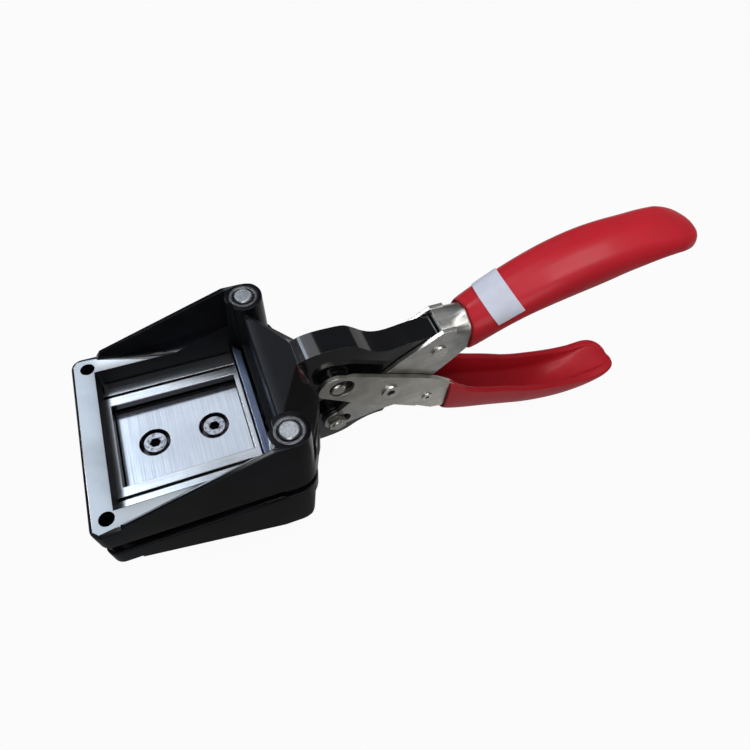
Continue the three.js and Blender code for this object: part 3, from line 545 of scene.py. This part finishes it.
# %% Handles and label
finish_node("upper_handle", upper_nickel, SHEET_SHARP)
finish_node("lower_handle", lower_nickel, SHEET_SHARP)
finish_node("size_label", label_paper, PAPER_SHARP)
print("handles finished")

# %% [markdown]
# The grips are soft to the eye, so their section steps must not show. The copy's triangles are joined back
# into the four-sided faces that they came from, and one level of subdivision rounds them.

# %% Dipped grips
FLAT_WITHIN, SQUARE_WITHIN = math.radians(12), math.radians(60)


def dipped_grip(node, material):
    piece = merged_copy(node, node + "_dipped")
    work = bmesh.new()
    work.from_mesh(piece.data)
    bmesh.ops.join_triangles(work, faces=work.faces, angle_face_threshold=FLAT_WITHIN,
                             angle_shape_threshold=SQUARE_WITHIN)
    work.to_mesh(piece.data)
    work.free()
    finer = piece.modifiers.new("finer", "SUBSURF")
    finer.levels = 1
    finer.render_levels = 1
    dress(piece, node, material, VINYL_SHARP)


dipped_grip("upper_grip", upper_vinyl)
dipped_grip("lower_grip", lower_vinyl)
print("grips dipped")

# %% [markdown]
# Pieces that repeat are grown by Geometry Nodes. A Growth is one such tree: its sizes are named inputs,
# and its node method makes and connects any node. What it grows is put at two evenly spaced points,
# turned into a plain mesh, and given one material.

# %% Helpers for Geometry Nodes
PAIR = 2


class Growth:
    def __init__(self, name, sizes):
        self.tree = bpy.data.node_groups.new(name, "GeometryNodeTree")
        sockets = self.tree.interface
        sockets.new_socket(name="Geometry", in_out="OUTPUT", socket_type="NodeSocketGeometry")
        self.keys = {}
        for size in sizes:
            item = sockets.new_socket(name=size, in_out="INPUT", socket_type="NodeSocketFloat")
            self.keys[size] = item.identifier
        self.given = self.tree.nodes.new("NodeGroupInput").outputs

    def node(self, kind, inputs=None, **settings):
        made = self.tree.nodes.new(kind)
        for name, value in settings.items():
            setattr(made, name, value)
        for name, value in (inputs or {}).items():
            for one in value if isinstance(value, list) else [value]:
                source = one.outputs[0] if isinstance(one, bpy.types.Node) else one
                if isinstance(source, bpy.types.NodeSocket):
                    self.tree.links.new(source, made.inputs[name])
                else:
                    made.inputs[name].default_value = source
        return made

    def maths(self, operation, left, right):
        return self.node("ShaderNodeMath", {0: left, 1: right}, operation=operation)

    def vector(self, x=0.0, y=0.0, z=0.0):
        return self.node("ShaderNodeCombineXYZ", {0: x, 1: y, 2: z})

    def moved(self, geometry, z):
        return self.node("GeometryNodeTransform", {"Geometry": geometry, "Translation": self.vector(z=z)})

    def repeat(self, geometry, start, step, material, turn=0.0):
        points = self.node("GeometryNodeMeshLine", {"Count": PAIR, "Start Location": start, "Offset": step})
        put = self.node("GeometryNodeInstanceOnPoints", {
            "Points": points, "Instance": geometry, "Rotation": self.vector(turn)})
        real = self.node("GeometryNodeRealizeInstances", {0: put})
        dressed = self.node("GeometryNodeSetMaterial", {"Geometry": real, "Material": material})
        self.node("NodeGroupOutput", {0: dressed})

    def grow(self, name, **sizes):
        holder = add_object(name + "_holder", bpy.data.meshes.new(name + "_holder"))
        modifier = holder.modifiers.new("grown", "NODES")
        modifier.node_group = self.tree
        for size, value in sizes.items():
            modifier[self.keys[size.replace("_", " ")]] = value
        seen = holder.evaluated_get(bpy.context.evaluated_depsgraph_get())
        mesh = bpy.data.meshes.new_from_object(seen)
        bpy.data.objects.remove(holder)
        smooth(mesh, CAST_SHARP)
        return add_object(name, mesh)


print("Geometry Nodes helpers ready")

# %% [markdown]
# The screws are blackened steel. Their tree stores how far every corner lies from the screw's axis, under
# the name from_axis. The finish reads that, so that the flat ring round the socket, where the key rubs,
# is bright, and the socket is painted near black as the shade inside it.

# %% Worn screw finish
OXIDE_BLACK, OXIDE_GREY = (0.03, 0.03, 0.033, 1), (0.07, 0.07, 0.075, 1)
RUBBED_RING = (0.38, 0.39, 0.43, 1)
SCREW_PALE_EDGE = (0.60, 0.60, 0.60, 1)
SOCKET_SHADE = (0.006, 0.006, 0.007, 1)
RING_STARTS, RING_FULL = 1.72 * MM, 1.95 * MM
SOCKET_ENDS, SOCKET_FULL = 1.80 * MM, 1.76 * MM


def worn_screw(name):
    finish = Finish(name, Metallic=1.0)
    mottle = clouds(finish, scale=900, detail=4.0)
    reach = finish.node("ShaderNodeAttribute", {"attribute_name": "from_axis"}, output="Fac")
    ring = reach.between(RING_STARTS, RING_FULL)
    socket = reach.between(SOCKET_ENDS, SOCKET_FULL)
    edge = worn_edge(finish, 0.3 * MM)
    colour = blend_colour(finish, mottle, OXIDE_BLACK, OXIDE_GREY)
    colour = blend_colour(finish, ring * mottle.between(0.3, 0.55), colour, RUBBED_RING)
    colour = blend_colour(finish, edge * 0.6, colour, SCREW_PALE_EDGE)
    # The hexagon socket is painted near black as the shade inside it.
    colour = blend_colour(finish, socket, colour, SOCKET_SHADE)
    return finish.set(
        Base_Color=colour,
        Roughness=0.30 + mottle * 0.2 + socket * 0.4,
        Normal=bumped(finish, mottle, depth=0.02 * MM, radius=0.2 * MM))


screw_finish = worn_screw("worn_black_oxide")
print("screw finish:", screw_finish.name)

# %% [markdown]
# The punch is held by two cap screws with a hexagon socket, and the die plate by four countersunk ones
# from below. One tree grows them all, two at a time: a head that can be straight or tapered, a socket cut
# into it, and a shank. Their places and lengths are read from the CAD screws that they replace.

# %% Socket screws
HEAD_SIDES, HEXAGON, SHANK_SIDES = 64, 6, 32
CAP_SCREW = {"head": 3.5 * MM, "foot": 3.5 * MM, "head_height": 2.6 * MM, "shank": 2.0 * MM,
             "socket": 1.73 * MM, "socket_depth": 1.6 * MM}
COUNTERSUNK = {"head": 2.8 * MM, "foot": 1.5 * MM, "head_height": 1.5 * MM, "shank": 1.5 * MM,
               "socket": 1.1 * MM, "socket_depth": 1.0 * MM}


def screw_growth(material):
    tree = Growth("socket_screws", (
        "head", "foot", "head height", "shank", "shank length", "socket", "socket depth",
        "x", "y", "z", "step x", "step y", "turn"))
    given = tree.given
    down = tree.maths("MULTIPLY", given["head height"], -1.0)
    head = tree.moved(tree.node("GeometryNodeMeshCone", {
        "Vertices": HEAD_SIDES, "Radius Top": given["head"], "Radius Bottom": given["foot"],
        "Depth": given["head height"]}), down)
    key = tree.node("GeometryNodeMeshCylinder", {
        "Vertices": HEXAGON, "Radius": given["socket"],
        "Depth": tree.maths("MULTIPLY", given["socket depth"], 2.0)})
    cut = tree.node("GeometryNodeMeshBoolean", {"Mesh 1": head, "Mesh 2": [key]}, operation="DIFFERENCE")
    middle = tree.maths("SUBTRACT", down, tree.maths("MULTIPLY", given["shank length"], 0.5))
    shank = tree.moved(tree.node("GeometryNodeMeshCylinder", {
        "Vertices": SHANK_SIDES, "Radius": given["shank"], "Depth": given["shank length"]}), middle)
    whole = tree.node("GeometryNodeJoinGeometry", {"Geometry": [cut, shank]})
    place = tree.node("ShaderNodeSeparateXYZ", {0: tree.node("GeometryNodeInputPosition")})
    flat = tree.vector(place.outputs["X"], place.outputs["Y"])
    reach = tree.node("ShaderNodeVectorMath", {0: flat}, operation="LENGTH").outputs["Value"]
    known = tree.node("GeometryNodeStoreNamedAttribute", {
        "Geometry": whole, "Name": "from_axis", "Value": reach}, data_type="FLOAT", domain="POINT")
    tree.repeat(known, tree.vector(given["x"], given["y"], given["z"]),
                tree.vector(given["step x"], given["step y"]), material, given["turn"])
    return tree


def screw_pair(tree, name, first, second, from_below, **sizes):
    low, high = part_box(first)
    other_low, other_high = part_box(second)
    start = (low + high) / 2
    step = (other_low + other_high) / 2 - start
    height = low.z if from_below else high.z
    sizes["shank_length"] = high.z - low.z - sizes["head_height"]
    piece = tree.grow(name, x=start.x, y=start.y, z=height, step_x=step.x, step_y=step.y,
                      turn=math.pi if from_below else 0.0, **sizes)
    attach(piece, body_of(first))
    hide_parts(first, second)


screws = screw_growth(screw_finish)
screw_pair(screws, "punch_screws", "punch_screw_front", "punch_screw_rear", False, **CAP_SCREW)
screw_pair(screws, "die_screws_right", "die_screw_1", "die_screw_2", True, **COUNTERSUNK)
screw_pair(screws, "die_screws_left", "die_screw_3", "die_screw_4", True, **COUNTERSUNK)
print("six screws from one tree of", len(screws.tree.nodes), "nodes")

# %% [markdown]
# The two return springs are the same wire wound on the same former: a spiral becomes a tube. They shorten
# as the jaws close; the line below works out the squash, but nothing passes it on.

# %% Return springs
SPRING_CURLS = 7
WIRE = 1.0 * MM
COIL_RADIUS = 3.4 * MM
STEPS_PER_CURL, WIRE_SIDES = 32, 12


def coil_growth(material):
    tree = Growth("coil_pair", ("coil", "wire", "height", "x", "y", "z", "step y"))
    given = tree.given
    coil = tree.node("GeometryNodeCurveSpiral", {
        "Resolution": STEPS_PER_CURL, "Rotations": SPRING_CURLS, "Start Radius": given["coil"],
        "End Radius": given["coil"], "Height": given["height"]})
    round_wire = tree.node("GeometryNodeCurvePrimitiveCircle", {
        "Resolution": WIRE_SIDES, "Radius": given["wire"]})
    tube = tree.node("GeometryNodeCurveToMesh", {
        "Curve": coil, "Profile Curve": round_wire, "Fill Caps": True})
    tree.repeat(tube, tree.vector(given["x"], given["y"], given["z"]),
                tree.vector(y=given["step y"]), material)
    return tree


spring_low, spring_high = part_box("return_spring_left")
middle = (spring_low + spring_high) / 2
springs = coil_growth(spring_steel).grow(
    "return_springs", coil=COIL_RADIUS, wire=WIRE / 2, height=spring_high.z - spring_low.z - WIRE,
    x=middle.x, y=-middle.y, z=spring_low.z + WIRE / 2, step_y=2 * middle.y)
travel = next(j for j in frame["joints"] if j["name"] == "punch_travel")["range_m"][1]
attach(springs, "upper_head")
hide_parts("return_spring_right", "return_spring_left")
1 - travel / (spring_high.z - spring_low.z)
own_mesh(springs)
print("spring faces:", len(springs.data.polygons), "travel in mm:", round(travel / MM, 2))

# %% [markdown]
# The tool lies on white paper in even light. The camera sees the floor as nearly white, with only a trace
# of the tool's shadow. Steel and enamel mirror it too, bright behind the tool and dim in front, where the
# photographer stands in the light. That lights up the flanks of the guides and keeps the near side black.

# %% Floor
FLOOR_DARK, FLOOR_LIGHT = (0.36, 0.36, 0.36, 1), (0.40, 0.40, 0.40, 1)
FLOOR_MIRRORED = (0.16, 0.16, 0.16, 1)
FLOOR_REACH = 2.5
FLOOR_GAP = 0.2 * MM
BEHIND_FADE = 50 * MM
GLOW_SEEN, GLOW_THROUGH, GLOW_MIRRORED = 0.95, 0.05, 0.45


def pale_paper():
    finish = Finish("pale_floor", Metallic=0.0, Roughness=0.9)
    grey = blend_colour(finish, clouds(finish, scale=8, detail=2.0), FLOOR_DARK, FLOOR_LIGHT)
    seen = finish.node("ShaderNodeLightPath", output="Is Camera Ray")
    mirrored = finish.node("ShaderNodeLightPath", output="Is Glossy Ray")
    through = finish.node("ShaderNodeLightPath", output="Is Transmission Ray")
    finish.set(Base_Color=blend_colour(finish, mirrored, grey, FLOOR_MIRRORED))
    behind = (along(finish, "X") * 0.5 + along(finish, "Y")).between(0.0, BEHIND_FADE)
    share = seen * GLOW_SEEN + through * GLOW_THROUGH + mirrored * behind * GLOW_MIRRORED
    glow = finish.node("ShaderNodeEmission", inputs={"Color": (1, 1, 1, 1), "Strength": 1.0})
    paper = Wire(finish, finish.surface.outputs[0])
    both = finish.node("ShaderNodeMixShader", inputs={0: share.at_most(1), 1: paper, 2: glow})
    finish.put(finish.out.inputs["Surface"], both)
    return finish.material


def pale_floor():
    level = cad_box[0].z - FLOOR_GAP
    corners = [(-FLOOR_REACH, -FLOOR_REACH, level), (FLOOR_REACH, -FLOOR_REACH, level),
               (FLOOR_REACH, FLOOR_REACH, level), (-FLOOR_REACH, FLOOR_REACH, level)]
    mesh = bpy.data.meshes.new("floor")
    mesh.from_pydata(corners, [], [(0, 1, 2, 3)])
    mesh.materials.append(pale_paper())
    floor = add_object("floor", mesh)
    return floor


floor = pale_floor()
print("floor level in mm:", round(floor.data.vertices[0].co.z / MM, 1))

# %% [markdown]
# Flat steel and enamel show the camera what hangs over them, a little behind the tool. Where that would be
# was worked out by mirroring the camera in each face, and a softbox hangs there: one for the pad, two for
# the strips beside the window, one for the punch and the die. Another, far in front, glints in rounded
# edges. The lamp above and the one in front light the grips and the label, and a weak one over the jaws
# is there for whoever looks straight down.

# %% Lamps
PAD_TINT, STRIP_TINT, METAL_TINT = (0.73, 0.85, 1.0), (0.80, 0.90, 1.0), (0.92, 0.96, 1.0)


def softbox(name, place, width, height, watts, tint=(1, 1, 1), aim=None):
    lamp = bpy.data.lights.new(name, "AREA")
    lamp.shape = "RECTANGLE"
    lamp.size = width
    lamp.size_y = height
    lamp.energy = watts
    lamp.color = tint
    holder = add_object(name, lamp)
    holder.location = place
    target = Vector(aim or (place[0], place[1], 0))
    holder.rotation_euler = (target - Vector(place)).to_track_quat("-Z", "Y").to_euler()


softbox("pad_lamp", (-0.235, 0.435, 0.65), width=0.16, height=0.57, watts=1.45, tint=PAD_TINT)
softbox("near_strip_lamp", (-0.10, 0.245, 0.65), width=0.11, height=0.11, watts=0.16, tint=STRIP_TINT)
softbox("far_strip_lamp", (-0.10, 0.63, 0.65), width=0.11, height=0.12, watts=0.42, tint=STRIP_TINT)
softbox("metal_lamp", (-0.0125, 0.46, 0.65), width=0.285, height=0.32, watts=0.33, tint=METAL_TINT)
softbox("edge_lamp", (-0.42, 0.40, 0.60), width=0.06, height=0.30, watts=1.05, aim=(0.05, 0, 0))
softbox("top_lamp", (0.25, -0.04, 0.65), width=0.40, height=0.35, watts=2.2)
softbox("jaw_lamp", (0.02, -0.03, 0.62), width=0.30, height=0.24, watts=0.2)
softbox("front_lamp", (-0.20, -0.75, 0.60), width=0.6, height=0.6, watts=2.8, aim=(0.08, 0, 0))

# %% [markdown]
# The backdrop is pure white to the camera, and dim to everything else, so that only the lamps and the
# floor shape the tool.

# %% Backdrop
DIM_WORLD = 0.07


def white_backdrop():
    world = bpy.data.worlds.new("studio")
    world.use_nodes = True
    tree = world.node_tree
    backdrop = tree.nodes["Background"]
    backdrop.inputs["Color"].default_value = (1, 1, 1, 1)
    path = tree.nodes.new("ShaderNodeLightPath")
    level = tree.nodes.new("ShaderNodeMath")
    level.operation = "MAXIMUM"
    level.inputs[1].default_value = DIM_WORLD
    tree.links.new(path.outputs["Is Camera Ray"], level.inputs[0])
    tree.links.new(level.outputs[0], backdrop.inputs["Strength"])
    return world


bpy.context.scene.world = white_backdrop()
bpy.context.scene.view_settings.view_transform = "Standard"
print("world:", bpy.context.scene.world.name)
